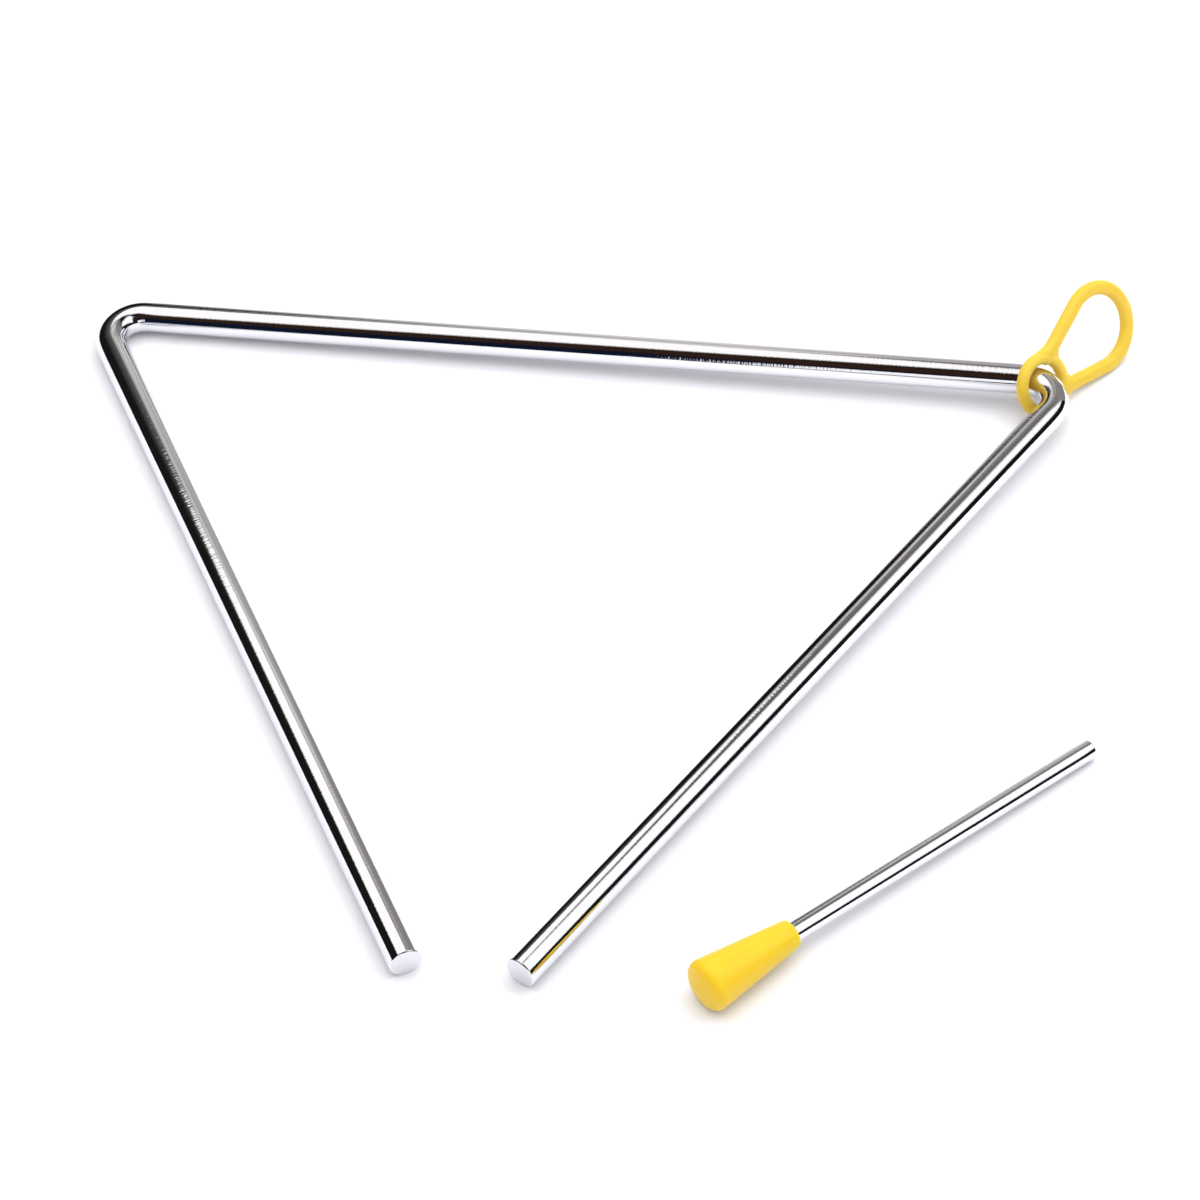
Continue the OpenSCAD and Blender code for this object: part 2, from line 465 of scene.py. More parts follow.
@dataclass
class TriangleBar:
    """The bent bar: a circle carried along a leg, a bend, the top, a bend and a leg."""

    places: RecordPlaces
    outer_w: float = 254.0
    bar_d: float = 8.0
    bend_inner_r: float = 4.3
    bend_thin: float = 0.05
    end_round: float = 0.4
    ease_len: float = 5.0
    flow_len: float = 2.2
    around: int = 128
    step_straight: float = 4.0
    step_bend: float = 0.35
    end_steps: int = 7
    end_clear: float = 1.5
    squeeze_from: float = 0.1
    cut_from: float = 0.9

    @property
    def bar_r(self) -> float:
        """Radius of the bar."""
        return self.bar_d / 2

    @property
    def bend_r(self) -> float:
        """Radius of a bend's centreline."""
        return self.bend_inner_r + self.bar_r

    @property
    def bend_run(self) -> float:
        """How far from its sharp corner a bend begins."""
        return self.bend_r / math.tan(HALF_CORNER)

    @property
    def side(self) -> float:
        """Side of the triangle that the centrelines would make with sharp corners."""
        return self.outer_w - 2 * (self.bar_r - self.bend_thin) + 2 * (self.bend_run - self.bend_r)

    def centreline(self) -> tuple[Array, Array, Array, Array, Array]:
        """Works out the centreline from cut end to cut end.

        The two legs' lines meet in the open corner. The other corners lie one side up each line,
        and a bend is an arc that touches both straight stretches.

        Returns:
            The points, the directions, the length so far, how much each point is in a bend from
            0 to 1, and the normal of the triangle's plane.
        """
        legs = ("left_leg_end", "right_leg_end")
        (left, left_way), (right, right_way) = (self.places.line(leg) for leg in legs)
        halves = [self.places.row(leg)["dims"]["length_mm"] / 2 for leg in legs]
        normal = unit(np.cross(right_way, left_way))
        lines = np.stack([left_way, -right_way], axis=1)
        share = np.linalg.lstsq(lines, right - left, rcond=None)[0]
        open_corner = left + share[0] * left_way
        corner_a = open_corner - self.side * left_way
        corner_b = open_corner - self.side * right_way
        top_way = unit(corner_b - corner_a)
        left_tip = left + left_way * (halves[0] + self.end_round)
        right_tip = right + right_way * (halves[1] + self.end_round)
        run = self.bend_run
        route = (
            (BarRoute.STRAIGHT, self._straight(left_tip, corner_a + run * left_way)),
            (BarRoute.BEND, self._bend(corner_a + run * left_way, -left_way, normal)),
            (BarRoute.STRAIGHT, self._straight(corner_a + run * top_way, corner_b - run * top_way)),
            (BarRoute.BEND, self._bend(corner_b - run * top_way, top_way, normal)),
            (BarRoute.STRAIGHT, self._straight(corner_b + run * right_way, right_tip)),
        )
        kinds, stretches = zip(*route)
        points, ways = (np.concatenate(parts) for parts in zip(*stretches))
        bent = np.repeat(
            [kind is BarRoute.BEND for kind in kinds], [len(part[0]) for part in stretches],
        )
        steps = np.linalg.norm(np.diff(points, axis=0), axis=1)
        keep = np.concatenate([[True], steps > SAME_POINT_MM])
        length = np.concatenate([[0.0], np.cumsum(steps)])[keep]
        return points[keep], ways[keep], length, self._eased(length, bent[keep]), normal

    def _straight(self, start: Array, end: Array) -> tuple[Array, Array]:
        """Goes straight: the start plus a share of the way, in closer steps near both ends.

        Args:
            start: Where the stretch starts.
            end: Where it ends.

        Returns:
            The points and the directions.
        """
        span = float(np.linalg.norm(end - start))
        near = 2 * self.ease_len
        close = np.arange(self.step_bend, near, self.step_bend)
        even = np.linspace(near, span - near, math.ceil(span / self.step_straight))
        places = np.concatenate([[0.0], close, even, span - close[::-1], [span]])
        points = start + (end - start) * (places[:, None] / span)
        return points, np.broadcast_to((end - start) / span, points.shape)

    def _bend(self, start: Array, way: Array, normal: Array) -> tuple[Array, Array]:
        """Turns right by 180 degrees less the corner: the centre plus the radius at each angle.

        Args:
            start: Where the bend starts.
            way: The direction there.
            normal: The normal of the plane of the bend.

        Returns:
            The points and the directions.
        """
        right_hand = np.cross(way, normal)
        turned = math.pi - 2 * HALF_CORNER
        count = math.ceil(turned * self.bend_r / self.step_bend)
        angles = np.linspace(0.0, turned, count)[:, None]
        centre = start + right_hand * self.bend_r
        points = centre + self.bend_r * (np.sin(angles) * way - np.cos(angles) * right_hand)
        return points, np.cos(angles) * way + np.sin(angles) * right_hand

    def _eased(self, length: Array, bent: Array) -> Array:
        """Eases the share of bend from one in a bend to zero over ease_len on each side of it."""
        gap = np.abs(length[:, None] - length[bent]).min(axis=1)
        return 1.0 - smooth_step(gap / self.ease_len)

    def _flowing(self, length: Array, ways: Array) -> Array:
        """Directions that flow into the bends: each is a bell-weighted mean over its neighbours.

        A bar bent over a former has no sudden change of curvature where the bend begins, so its
        reflections turn into the bend smoothly. Only the normals take this; the shape stays.

        Args:
            length: Length so far at each point.
            ways: Direction at each point.

        Returns:
            The smoothed unit directions.
        """
        weight = np.exp(-0.5 * ((length[:, None] - length[None]) / self.flow_len) ** 2)
        return unit((weight * np.gradient(length)[None]) @ ways)

    def rings(self) -> tuple[Array, Array, Array, Array]:
        """Carries the section along the centreline.

        Each ring is the centre plus the radius times cosine and sine of the turn, across and up.
        The radius eases to the slimmer one in the bends, and the cut ends are quarter rounds.
        The normal is the same cosine and sine about the flowing direction, tipped outwards along
        the bar on the quarter rounds and faces.

        Returns:
            The ring points in the row frame, the same points on the bar before it was bent, the
            normals, and how worked each point is: squeezed by a bend, cut, and nothing.
        """
        points, ways, length, bent, normal = self.centreline()
        end_r, end_at, end_tip = rounded_end(self.bar_r, self.end_round, self.end_steps)
        clear = self.end_clear * self.end_round
        inner = (length > clear) & (length < length[-1] - clear)

        def capped(values: Array) -> Array:
            """Gives each end's rings the value of that end of the centreline."""
            first, last = (np.repeat(values[[i]], len(end_at), axis=0) for i in (0, -1))
            return np.concatenate([first, values[inner], last])

        radius = np.concatenate([end_r, self.bar_r - self.bend_thin * bent[inner], end_r[::-1]])
        level = np.zeros(inner.sum())
        into = np.concatenate([end_at, level, -end_at[::-1]])
        tip = np.concatenate([-end_tip, level, end_tip[::-1]])[:, None, None]
        centres = capped(points) + into[:, None] * capped(ways)
        straight = polar_rings(radius, capped(length) + into, self.around)[..., [2, 0, 1]]
        flow = capped(self._flowing(length, ways))
        turn = np.linspace(0.0, 2 * math.pi, self.around, endpoint=False)
        cosine, sine = np.cos(turn)[:, None], np.sin(turn)[:, None]
        sides, flow_sides = (np.cross(normal, way)[:, None] for way in (capped(ways), flow))
        rings = centres[:, None] + radius[:, None, None] * (cosine * sides + sine * normal)
        normals = np.sqrt(1 - tip**2) * (cosine * flow_sides + sine * normal) + tip * flow[:, None]
        inner_side = smooth_step((-np.cos(turn) - self.squeeze_from) / (1 - self.squeeze_from))
        cut = smooth_step((np.abs(tip[..., 0]) - self.cut_from) / (1 - self.cut_from))
        squeezed = capped(bent)[:, None] * inner_side
        worked = np.stack(np.broadcast_arrays(squeezed, cut, 0.0), axis=-1)
        return rings, straight, normals, worked

    def build(self, plate: Material) -> Object:
        """Makes the bar, dresses it and lets it ride on its body.

        Args:
            plate: The chrome finish.

        Returns:
            The bar.
        """
        rings, straight, normals, worked = self.rings()
        bar = mesh_object("bent_chrome_bar", *closed_tube(rings), plate)
        point_vectors(bar, STRAIGHTENED, straight)
        point_vectors(bar, WORKED, worked)
        bar.data.normals_split_custom_set_from_vertices(with_poles(normals).astype(np.float32))
        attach(bar, "triangle")
        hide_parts("triangle_bar")
        return bar


@dataclass
class Beater:
    """The beater: a round rod pressed into a tapered moulded grip."""

    places: RecordPlaces
    length: float = 118.5
    rod_d: float = 5.0
    rod_bevel: float = 0.3
    grip_len: float = 26.4
    grip_d: float = 12.7
    mouth_d: float = 7.2
    rim_r: float = 2.4
    mouth_r: float = 0.5
    dome: float = 0.8
    socket_depth: float = 20.0
    socket_play: float = 0.02
    floor_bevel: float = 0.1
    cut_depth: float = 0.02
    dome_start: float = 0.02
    around: int = 160
    bevel_steps: int = 6
    rod_steps: int = 30
    arc_steps: int = 16
    rim_steps: int = 26
    taper_steps: int = 24

    def axes(self) -> Axes:
        """Local axes: Z from the grip's thick end to the rod's tip, with the thick end at 0.

        The record's mount lies in the middle of the bare rod, which runs from the grip's mouth
        to the bevel of the tip.

        Returns:
            The axes in the row frame.
        """
        middle, z_axis = self.places.line("rod_end")
        bare = self.length - self.grip_len - self.rod_bevel
        origin = middle - z_axis * (self.grip_len + bare / 2)
        x_axis = unit(np.cross([0.0, 0.0, 1.0], z_axis))
        return Axes(origin, x_axis, np.cross(z_axis, x_axis), z_axis)

    def revolved(self, profile: Array) -> tuple[Array, Array]:
        """Turns radii and heights round local Z: the row frame's points, and height, x and y."""
        local = polar_rings(*profile.T, self.around)
        return self.axes().to_row(local), local[..., [2, 0, 1]]

    def rod_profile(self) -> Array:
        """Goes up the rod: its hidden end, the straight length and the bevelled tip.

        Returns:
            Radius and height of each ring.
        """
        low = self.grip_len - self.socket_depth
        end_r, end_at, _ = rounded_end(self.rod_d / 2, self.rod_bevel, self.bevel_steps)
        wall = np.linspace(low + self.rod_bevel, self.length - self.rod_bevel, self.rod_steps)
        wall = wall[1:-1]
        radius = np.concatenate([end_r, np.full(len(wall), self.rod_d / 2), end_r[::-1]])
        height = np.concatenate([low + end_at, wall, self.length - end_at[::-1]])
        return np.stack([radius, height], axis=1)

    def grip_profile(self) -> Array:
        """Radius and height round the grip, from the dome over the rim and taper into the socket.

        The dome's ball holds the rim's circle from inside, so that the two meet without an edge.
        A straight line touches the rim's circle and the mouth's circle. The socket's wall then
        runs back down to its floor.

        Returns:
            Radius and height of each ring.
        """
        rim = np.array([self.grip_d / 2 - self.rim_r, self.rim_r])
        mouth = np.array([self.mouth_d / 2 - self.mouth_r, self.grip_len - self.mouth_r])
        ball_r = (rim @ rim + 2 * rim[1] * self.dome + self.dome**2 - self.rim_r**2) / (
            2 * (rim[1] + self.dome - self.rim_r))
        meet = math.atan2(rim[0], ball_r - self.dome - rim[1])
        span = mouth - rim
        slope = math.atan2(-span[0], span[1])
        slope += math.asin((self.rim_r - self.mouth_r) / np.hypot(*span))
        rise = np.linspace(self.dome_start, 1.0, self.arc_steps)[:, None] * meet
        dome = ball_r * np.hstack([np.sin(rise), 1 - np.cos(rise)]) - (0.0, self.dome)
        round_rim = arc(rim, self.rim_r, meet - math.pi / 2, slope, self.rim_steps)[1:]
        round_mouth = arc(mouth, self.mouth_r, slope, math.pi, self.arc_steps)
        share = np.linspace(0.0, 1.0, self.taper_steps)[1:-1, None]
        taper = round_rim[-1] + (round_mouth[0] - round_rim[-1]) * share
        socket_r = (self.rod_d + self.socket_play) / 2
        floor = self.grip_len - self.socket_depth - self.socket_play
        bevel = self.floor_bevel
        wall = np.array([
            [socket_r, mouth[1] - bevel], [socket_r, floor + bevel], [socket_r - bevel, floor],
            [socket_r / 2, floor],
        ])
        inside = round_mouth[:, 0] > socket_r
        return np.concatenate([dome, round_rim, taper, round_mouth[inside], wall])

    def build(self, plate: Material, plastic: Material) -> list[Object]:
        """Makes the rod and the grip, dresses them and lets them ride on the beater.

        Args:
            plate: The rod's chrome finish.
            plastic: The grip's plastic.

        Returns:
            The rod and the grip.
        """
        made = []
        for name, profile, finish, node, slot in (
            ("beater_chrome_rod", self.rod_profile(), plate, "beater_rod", "rod_chrome"),
            ("beater_moulded_grip", self.grip_profile(), plastic, "beater_grip", "grip_plastic"),
        ):
            rings, straight = self.revolved(profile)
            piece = mesh_object(name, *closed_tube(rings), finish)
            point_vectors(piece, STRAIGHTENED, straight)
            cut = smooth_step((straight[..., :1] - self.length) / self.cut_depth + 1.0)
            point_vectors(piece, WORKED, cut * (0.0, 1.0, 0.0))
            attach(piece, "beater")
            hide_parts(node)
            made.append(piece)
        return made


def surface_net(values: Array, low: Array, step: float) -> tuple[Array, Array]:
    """Skins the zero level of a field: one point a crossed cell, one quad a crossed grid line.

    Each point is the mean of the places where the level crosses its cell's edges. Each crossed
    grid line joins the four cells round it, turned so that the quad faces the positive side.

    Args:
        values: The field on a grid, negative inside.
        low: The grid's first corner.
        step: The grid's spacing.

    Returns:
        The points and the quads.
    """
    cells = tuple(count - 1 for count in values.shape)
    total, hits, loops = np.zeros((*cells, 3)), np.zeros(cells), []
    for axis in range(3):
        order = [axis, (axis + 1) % 3, (axis + 2) % 3]
        turned = np.transpose(values, order)
        first, second = turned[:-1], turned[1:]
        cross = np.argwhere((first < 0) != (second < 0))
        start, end = first[tuple(cross.T)], second[tuple(cross.T)]
        where = np.zeros((len(cross), 3))
        where[:, order] = cross
        where[:, axis] += start / (start - end)
        ring = []
        for aside, above in ((-1, -1), (0, -1), (0, 0), (-1, 0)):
            cell = np.zeros((len(cross), 3), int)
            cell[:, order] = cross + (0, aside, above)
            np.add.at(total, tuple(cell.T), where)
            np.add.at(hits, tuple(cell.T), 1)
            ring.append(cell)
        outward = start < 0
        loops.append([np.where(outward[:, None], a, b) for a, b in zip(ring, ring[::-1])])
    used = hits > 0
    number = np.full(cells, -1)
    number[used] = np.arange(used.sum())
    quads = np.concatenate([
        np.stack([number[tuple(cell.T)] for cell in ring], axis=1) for ring in loops
    ])
    return low + step * total[used] / hits[used][:, None], quads


def level_slope(level: Callable[[Array], Array], points: Array) -> Array:
    """Gives a field's slope at each point, by central differences."""
    rises = [level(points + step) - level(points - step) for step in np.eye(3) * SLOPE_STEP_MM]
    return np.stack(rises, axis=-1) / (2 * SLOPE_STEP_MM)


def on_level(level: Callable[[Array], Array], points: Array) -> Array:
    """Moves points on to a field's zero level: each step is the field over its slope.

    Args:
        level: The field.
        points: Points near its zero level.

    Returns:
        The points on the level.
    """
    for _ in range(LEVEL_ROUNDS):
        slope = level_slope(level, points)
        move = level(points) / np.maximum((slope**2).sum(axis=1), LEAST_SLOPE)
        points = points - np.clip(move, -LONGEST_MOVE_MM, LONGEST_MOVE_MM)[:, None] * slope
    return points


@dataclass
class Holder:
    """The moulded holder: a round ring and a teardrop loop that flow into each other."""

    places: RecordPlaces
    bar_d: float = 8.0
    finger_w: float = 17.3
    loop_reach: float = 23.4
    loop_taper_deg: float = 18.0
    band_w: float = 3.8
    band_t: float = 3.0
    band_round: float = 1.4
    ring_t: float = 3.2
    ring_play: float = 0.5
    ring_lean_deg: float = 29.0
    fillet: float = 3.0
    fillet_least: float = 0.05
    fillet_fade: float = 1.4
    step: float = 0.19
    even_rounds: int = 4

    @property
    def ring_r(self) -> float:
        """Radius of the ring's centreline, which clears the bar where the ring leans."""
        lean = math.radians(self.ring_lean_deg)
        return (self.bar_d / 2 + self.ring_t / 2 + self.ring_play) / math.cos(lean)

    @property
    def loop_r(self) -> float:
        """Radius of the centreline of the loop's round end."""
        return (self.finger_w + self.band_w) / 2

    def axes(self) -> Axes:
        """Local axes: the ring's middle, X the way the loop reaches, Z the ring's axis."""
        origin, z_axis = self.places.line("holder_turn")
        x_axis = self.places.line("finger_loop")[1]
        return Axes(origin, x_axis, np.cross(z_axis, x_axis), z_axis)

    def loop_gap(self, x: Array, y: Array) -> Array:
        """Distance in the plan from the loop's centreline: a round end and two straight limbs.

        Args:
            x: Places along the way the loop reaches.
            y: Places to the side.

        Returns:
            The distances.
        """
        taper, aside = math.radians(self.loop_taper_deg), np.abs(y)
        offset = self.loop_r - self.loop_reach * math.sin(taper)
        inner_end = math.sqrt(self.ring_r**2 - offset**2)
        past = x * math.cos(taper) + aside * math.sin(taper)
        off_line = aside * math.cos(taper) - x * math.sin(taper) - offset
        limb = np.hypot(off_line, np.maximum(inner_end - past, 0.0))
        turned = np.arctan2(aside, x - self.loop_reach)
        on_end = turned <= math.pi / 2 + taper
        return np.where(on_end, np.abs(np.hypot(x - self.loop_reach, aside) - self.loop_r), limb)

    def level(self, points: Array) -> Array:
        """The holder's field: negative in the plastic and zero at its skin.

        In the plan, the distances from the ring's rim and from the loop's edge join in a smooth
        minimum, which is the lesser one less the fillet times h times one less h. Inside the
        ring's middle line the fillet fades out, so that the hole stays round. Across the plan the
        section is a rounded box, a circle at the ring and a band with rounded edges at the loop.

        Args:
            points: Points in the local axes.

        Returns:
            The field's values.
        """
        x, y, z = points[..., 0], points[..., 1], points[..., 2]
        out = np.hypot(x, y)
        rim = np.abs(out - self.ring_r) - self.ring_t / 2
        edge = self.loop_gap(x, y) - self.band_w / 2
        fade = smooth_step((out - self.ring_r) / self.ring_t * self.fillet_fade)
        width = self.fillet_least + self.fillet * fade
        share = np.clip(0.5 + 0.5 * (edge - rim) / width, 0.0, 1.0)
        plan = edge + (rim - edge) * share - width * share * (1.0 - share)
        ease = smooth_step(share)
        half = self.band_t / 2 + (self.ring_t - self.band_t) / 2 * ease
        corner = self.band_round + (self.ring_t / 2 - self.band_round) * ease
        beside, above = plan + corner, np.abs(z) - half + corner
        return (
            np.minimum(np.maximum(beside, above), 0.0)
            + np.hypot(np.maximum(beside, 0.0), np.maximum(above, 0.0)) - corner
        )

    def skin(self) -> tuple[Array, Array, Array]:
        """Skins the field, evens the points out over it and takes its slope as the normals.

        Returns:
            The points in the local axes, the quads, and the normals in the local axes.
        """
        reach = self.ring_r + self.ring_t
        low = np.array([-reach, -self.loop_r - self.band_w, -self.ring_t])
        high = np.array([self.loop_reach + self.loop_r + self.band_w, -low[1], -low[2]])
        counts = np.ceil((high - low) / self.step).astype(int)
        grid = np.stack(np.meshgrid(*(np.arange(c) for c in counts), indexing="ij"), axis=-1)
        points, quads = surface_net(self.level(low + grid * self.step), low, self.step)
        points = on_level(self.level, points)
        pairs = np.concatenate([quads[:, [i, (i + 1) % 4]] for i in range(4)])
        for _ in range(self.even_rounds):
            total, hits = np.zeros_like(points), np.zeros(len(points))
            np.add.at(total, pairs[:, 0], points[pairs[:, 1]])
            np.add.at(hits, pairs[:, 0], 1)
            points = on_level(self.level, (points + total / hits[:, None]) / 2)
        return points, quads, unit(level_slope(self.level, points))

    def build(self, plastic: Material) -> Object:
        """Makes the holder, dresses it and lets it ride on its body.

        Args:
            plastic: The moulded plastic.

        Returns:
            The holder.
        """
        points, quads, normals = self.skin()
        axes = self.axes()
        turned = axes.to_row(normals) - axes.origin
        points = axes.to_row(points)
        piece = mesh_object("moulded_finger_loop_holder", points, quads.tolist(), plastic)
        piece.data.normals_split_custom_set_from_vertices(turned.astype(np.float32))
        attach(piece, "holder")
        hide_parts("holder")
        return piece


@dataclass(frozen=True)
class GlowPanel:
    """A flat cloth, card or wall of the studio, seen only in mirror surfaces.

    Its glow fades out inwards from each edge over that edge's own ease, as a cloth-fronted
    lamp or an unlit wall corner does, so that panels can stand in front of each other.
    """

    name: str
    corners: tuple[tuple[float, float, float], ...]
    eases: tuple[float, ...]
    colour: str = WHITE
    strength: float = 1.0
    far_colour: str = ""
    drift: tuple[tuple[float, float, float], ...] = ()

    def build(self) -> Object:
        """Makes the panel: one convex face with a glow that reads its place in the studio.

        Returns:
            The panel.
        """
        corners = np.array(self.corners)
        panel = mesh_object(self.name, corners, [range(len(corners))], self._glow())
        panel.visible_camera = panel.visible_diffuse = panel.visible_shadow = False
        panel.visible_transmission = panel.visible_volume_scatter = False
        return panel

    def _along(self, tree: NodeTree, place: NodeSocket, start: Array, end: Array) -> NodeSocket:
        """Adds the smooth share, 0 to 1, of the way from one plane to another.

        Args:
            tree: The node tree.
            place: The socket with the place in metres.
            start: A point of the plane where the share is 0, in mm.
            end: The point straight above it where the share is 1, in mm.

        Returns:
            The socket with the share.
        """
        way = unit(end - start)
        reach = add_node(tree, "VectorMath", operation="DOT_PRODUCT", in_0=place, in_1=tuple(way))
        return add_node(
            tree, "MapRange", interpolation_type="SMOOTHSTEP", in_Value=reach.outputs["Value"],
            in_From_Min=float(start @ way) * MM, in_From_Max=float(end @ way) * MM,
        ).outputs[0]

    def _glow(self) -> Material:
        """Builds the glow: the product over the edges of how far inside each one a point lies.

        Returns:
            The material.
        """
        made, tree = new_material(self.name + "_glow")
        place = add_node(tree, "TexCoord").outputs["Object"]
        points = np.array(self.corners)
        cover: Any = 1.0
        for start, end, ease in zip(points, np.roll(points, -1, axis=0), self.eases):
            side = unit(end - start)
            inward = points.mean(axis=0) - start
            inward = unit(inward - (inward @ side) * side)
            share = self._along(tree, place, start, start + ease * inward)
            cover = add_node(tree, "Math", operation="MULTIPLY", in_0=share, in_1=cover)
        colour: Any = linear_colour(self.colour)
        if self.drift:
            share = self._along(tree, place, *np.array(self.drift))
            colour = mixed_colour(tree, share, self.colour, self.far_colour)
        glow = add_node(tree, "Emission", in_Color=colour, in_Strength=self.strength)
        clear = add_node(tree, "BsdfTransparent")
        both = add_node(tree, "MixShader", in_0=cover, in_1=clear, in_2=glow)
        add_node(tree, "OutputMaterial", in_Surface=both)
        return made


@dataclass(frozen=True)
class StudioLamp:
    """A soft square lamp that lights the objects and is not seen in them."""

    name: str
    place: tuple[float, float, float]
    size: tuple[float, float]
    watts: float
    aim: tuple[float, float, float] = (0.0, 0.0, 0.0)
    colour: str = WHITE

    def build(self) -> Object:
        """Makes the lamp, turned so that it faces its aim.

        Returns:
            The lamp.
        """
        data = bpy.data.lights.new(self.name, "AREA")
        data.shape = "RECTANGLE"
        data.size, data.size_y = (MM * side for side in self.size)
        data.energy = self.watts
        data.color = linear_colour(self.colour)[:3]
        place = np.array(self.place, float)
        back = unit(place - self.aim)
        right = unit(np.cross(SKYWARD, back))
        lamp = stand(self.name, data)
        lamp.matrix_world = Axes(place, right, np.cross(back, right), back).matrix()
        lamp.visible_glossy = False
        return lamp


@dataclass(frozen=True)
class StudioCamera:
    """The camera that took the photo, as fitted to the bar's outlines."""

    azimuth_deg: float = 8.208
    elevation_deg: float = 47.667
    roll_deg: float = -1.068
    distance: float = 948.2
    target: tuple[float, float, float] = (8.12, 6.59, 0.0)
    focal_px: float = 3843.3
    image_px: float = 1200.0
    sensor_mm: float = 36.0
    clip_m: tuple[float, float] = (0.01, 100.0)

    def build(self) -> Object:
        """Makes the camera: it looks at its target from its azimuth and elevation, and rolls.

        Returns:
            The camera.
        """
        turn, lift, roll = np.radians([self.azimuth_deg, self.elevation_deg, self.roll_deg])
        back = np.array([
            math.sin(turn) * math.cos(lift), -math.cos(turn) * math.cos(lift), math.sin(lift),
        ])
        level = np.array([math.cos(turn), math.sin(turn), 0.0])
        above = np.cross(back, level)
        right = math.cos(roll) * level + math.sin(roll) * above
        up = -math.sin(roll) * level + math.cos(roll) * above
        data = bpy.data.cameras.new("studio_camera")
        data.sensor_width = self.sensor_mm
        data.lens = self.sensor_mm * self.focal_px / self.image_px
        data.clip_start, data.clip_end = self.clip_m
        data.dof.use_dof = False
        camera = stand("studio_camera", data)
        place = np.array(self.target) + self.distance * back
        camera.matrix_world = Axes(place, right, up, back).matrix()
        bpy.context.scene.camera = camera
        return camera


@dataclass(frozen=True)
class WhiteTable:
    """A white laminate table top under soft light, white to the camera where no shadow falls.

    The lamps alone light it round the object, so the shadows there keep their depth. Further out,
    where the lamps fade, a glow for camera and mirror rays takes over.
    """

    radii: tuple[float, ...] = (2.0, 200.0, 500.0, 900.0, 1500.0)
    around: int = 96
    colour: str = "#E6E6EA"
    glow_seen: float = 0.8
    glow_mirrored: float = 0.4
    glow_from: float = 230.0
    glow_to: float = 700.0

    def build(self) -> Object:
        """Makes the table: a disc of rings, with a glow for camera and mirror rays only.

        Returns:
            The table.
        """
        radii, count = np.array(self.radii), len(self.radii)
        rings = polar_rings(radii, 0.0 * radii, self.around)
        points = np.concatenate([rings.reshape(-1, 3), np.zeros((1, 3))])
        quads = ring_quads(count, self.around)[:, ::-1]
        middle = pole_fan(0, self.around, count * self.around)
        faces = [*quads.tolist(), *middle.tolist()]
        table = mesh_object("white_table", points, faces, self._laminate())
        return table

    def _laminate(self) -> Material:
        """Builds the laminate: a dull white that the lamps light, plus a glow further out.

        Returns:
            The material.
        """
        made, tree = new_material("white_laminate_table")
        path = add_node(tree, "LightPath")
        seen = add_node(
            tree, "Math", operation="MULTIPLY", in_0=path.outputs["Is Camera Ray"],
            in_1=self.glow_seen,
        )
        mirrored = add_node(
            tree, "Math", operation="MULTIPLY_ADD", in_0=path.outputs["Is Glossy Ray"],
            in_1=self.glow_mirrored, in_2=seen,
        )
        place = add_node(tree, "TexCoord").outputs["Object"]
        away = add_node(tree, "VectorMath", operation="LENGTH", in_0=place)
        outer = add_node(
            tree, "MapRange", interpolation_type="SMOOTHSTEP",
            in_Value=away.outputs["Value"], in_From_Min=self.glow_from * MM,
            in_From_Max=self.glow_to * MM, in_To_Max=mirrored,
        )
        glow = add_node(tree, "Emission", in_Strength=outer)
        dull = add_node(tree, "BsdfDiffuse", in_Color=linear_colour(self.colour))
        both = add_node(tree, "AddShader", in_0=dull, in_1=glow)
        add_node(tree, "OutputMaterial", in_Surface=both)
        return made


@dataclass(frozen=True)
class StudioRoom:
    """The room round the table: white to the camera, dim to mirrors, soft to dull surfaces."""

    fill: float = 0.8
    dark: str = "#1A1614"

    def build(self) -> None:
        """Sets up the world: the kind of ray picks the white, the fill or the dark room."""
        world = bpy.data.worlds.new("studio_room")
        bpy.context.scene.world = world
        world.use_nodes = True
        tree = world.node_tree
        tree.nodes.clear()
        path = add_node(tree, "LightPath")
        white, soft, dim = (
            add_node(tree, "Background", in_Color=linear_colour(colour), in_Strength=strength)
            for colour, strength in ((WHITE, 1.0), (WHITE, self.fill), (self.dark, 1.0))
        )
        mirrored = add_node(
            tree, "MixShader", in_0=path.outputs["Is Glossy Ray"], in_1=soft, in_2=dim,
        )
        seen = add_node(
            tree, "MixShader", in_0=path.outputs["Is Camera Ray"], in_1=mirrored, in_2=white,
        )
        add_node(tree, "OutputWorld", in_Surface=seen)


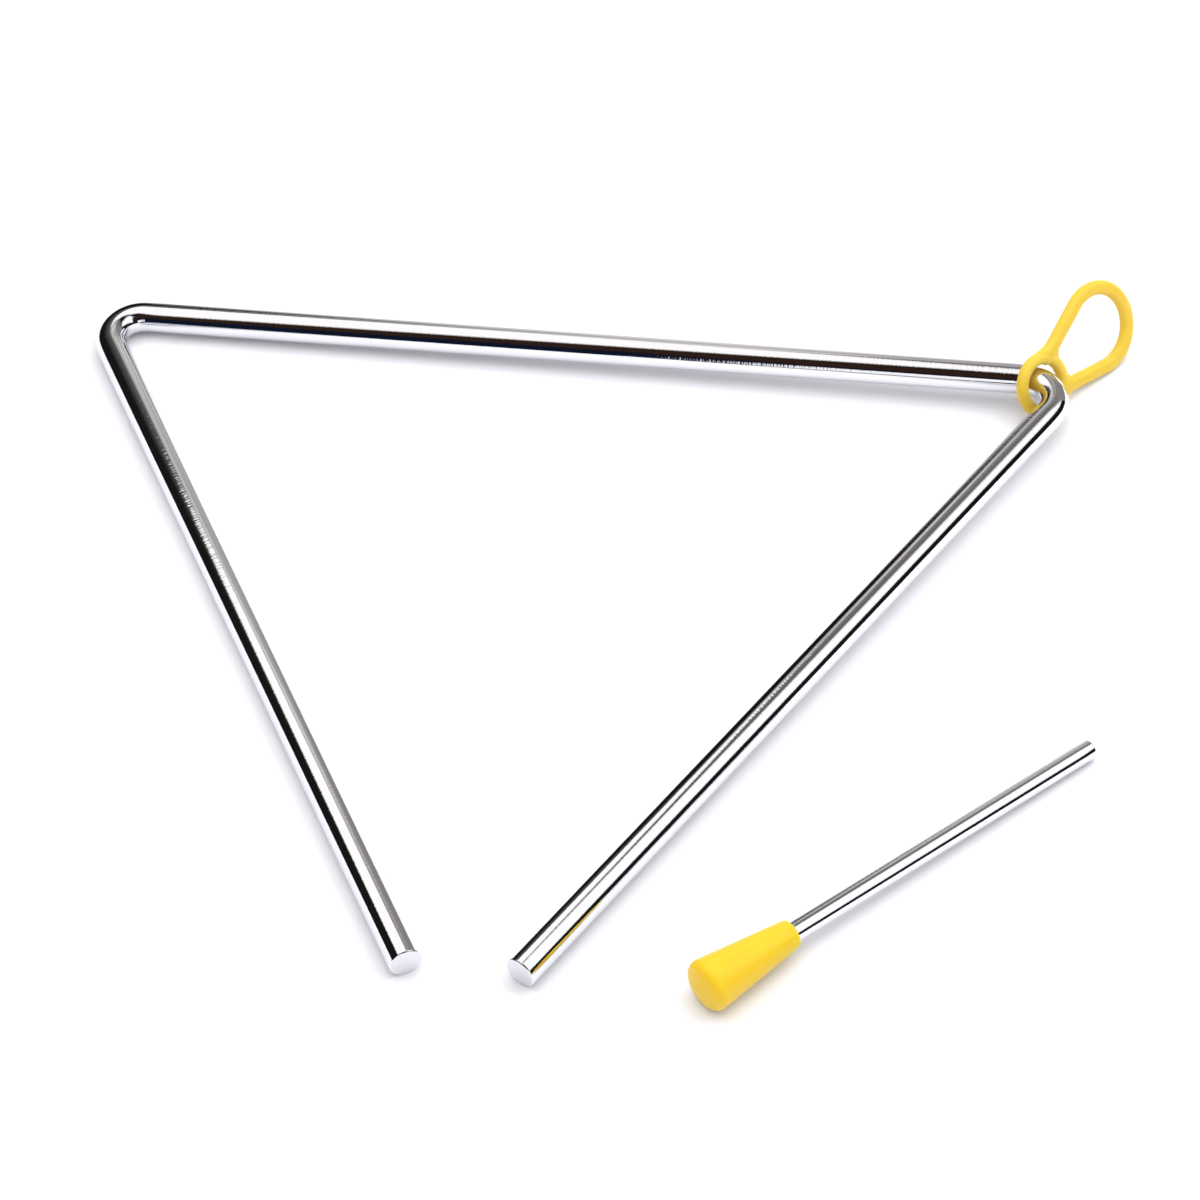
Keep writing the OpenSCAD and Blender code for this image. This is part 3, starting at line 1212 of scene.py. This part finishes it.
# These numbers were not chosen by hand, apart from the camera-side wall's: scratch programs
# fitted them to the bands in the photo's chrome, a few were then moved by hand, and the lengths
# were rounded, most of them to 5 mm.
PANELS = (
    GlowPanel(
        "overhead_softbox",
        ((-470, -710, 1055), (355, -150, 1410), (215, 470, 1060),
         (-160, 750, 680), (-600, 295, 555), (-690, 105, 570)),
        (345, 225, 2, 25, 85, 50), "#FFFDF9", 1.28,
    ),
    GlowPanel(
        "overhead_flap",
        ((10, 175, 390), (100, 510, 330), (-260, 1210, 680), (-535, 1145, 920), (-320, 695, 705)),
        (105, 115, 12, 20, 240), "#F3EFED",
        far_colour="#B8B5B3", drift=((-200, 400, 585), (-200, 900, 615)),
    ),
    GlowPanel(
        "right_softbox",
        ((95, -120, 495), (920, -685, 315), (900, 805, 415), (35, 135, 525)),
        (30, 200, 140, 60), WHITE, 1.27,
    ),
    GlowPanel(
        "far_card",
        ((-45, 900, 195), (230, 900, 150), (295, 900, 715), (-200, 900, 860)),
        (70, 85, 45, 185), "#B5B1AE",
    ),
    GlowPanel(
        "far_wall",
        ((-750, 1500, 30), (610, 1500, 0), (440, 1500, 1790), (-220, 1500, 1600)),
        (1, 500, 500, 515), "#EDE8E4",
    ),
    GlowPanel(
        "far_room",
        ((-460, 1700, -30), (2200, 1700, -55), (2250, 1700, 3445), (-255, 1700, 3180)),
        (1, 50, 145, 65), "#918E8A",
        far_colour="#706D6A", drift=((935, 1700, 1200), (935, 1700, 2900)),
    ),
    GlowPanel(
        "upper_left_cloth",
        ((-1575, -135, 385), (-160, 415, 980), (-200, 825, 715), (-1440, 1110, -255)),
        (70, 70, 85, 175), "#6E6C6C",
        far_colour="#1B1A1A", drift=((-180, 555, 885), (-820, 555, 475)),
    ),
    GlowPanel(
        "camera_side_wall",
        ((-1700, -1500, 0), (1700, -1500, 0), (1700, -1500, 3400), (-1700, -1500, 3400)),
        (1, 60, 60, 60), "#0E182C",
        far_colour="#33231A", drift=((0, -1500, 700), (0, -1500, 1300)),
    ),
    GlowPanel(
        "camera_side_lamp",
        ((-110, -1300, 50), (655, -1300, 80), (710, -1300, 535), (-80, -1300, 595)),
        (1, 65, 45, 65), WHITE, 1.18,
    ),
)

LAMPS = (
    StudioLamp("overhead_lamp", (-110, 120, 1000), (1300, 1200), 9.6),
    StudioLamp("right_lamp", (750, 300, 700), (900, 900), 4.8),
)


def main() -> None:
    """Builds the instrument and its studio, piece by piece."""
    logging.basicConfig(level=logging.INFO, format="%(name)s: %(message)s")
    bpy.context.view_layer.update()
    places = RecordPlaces(frame["record"])
    plate = ChromePlate().material()
    holder_plastic = MouldedPlastic("moulded_holder_plastic", "#D3BC41", "#CEAF39")
    pieces = [
        TriangleBar(places).build(plate),
        Holder(places).build(holder_plastic.material()),
        *Beater(places).build(plate, MouldedPlastic("moulded_grip_plastic").material()),
    ]
    for piece in pieces:
        LOG.info("%s: %d faces", piece.name, len(piece.data.polygons))
    WhiteTable().build()
    StudioRoom().build()
    for stage_piece in (*PANELS, *LAMPS, StudioCamera()):
        made = stage_piece.build()
        LOG.info("studio: %s", made.name)
    bpy.context.scene.view_settings.view_transform = "Standard"


if __name__ == "__main__":
    main()
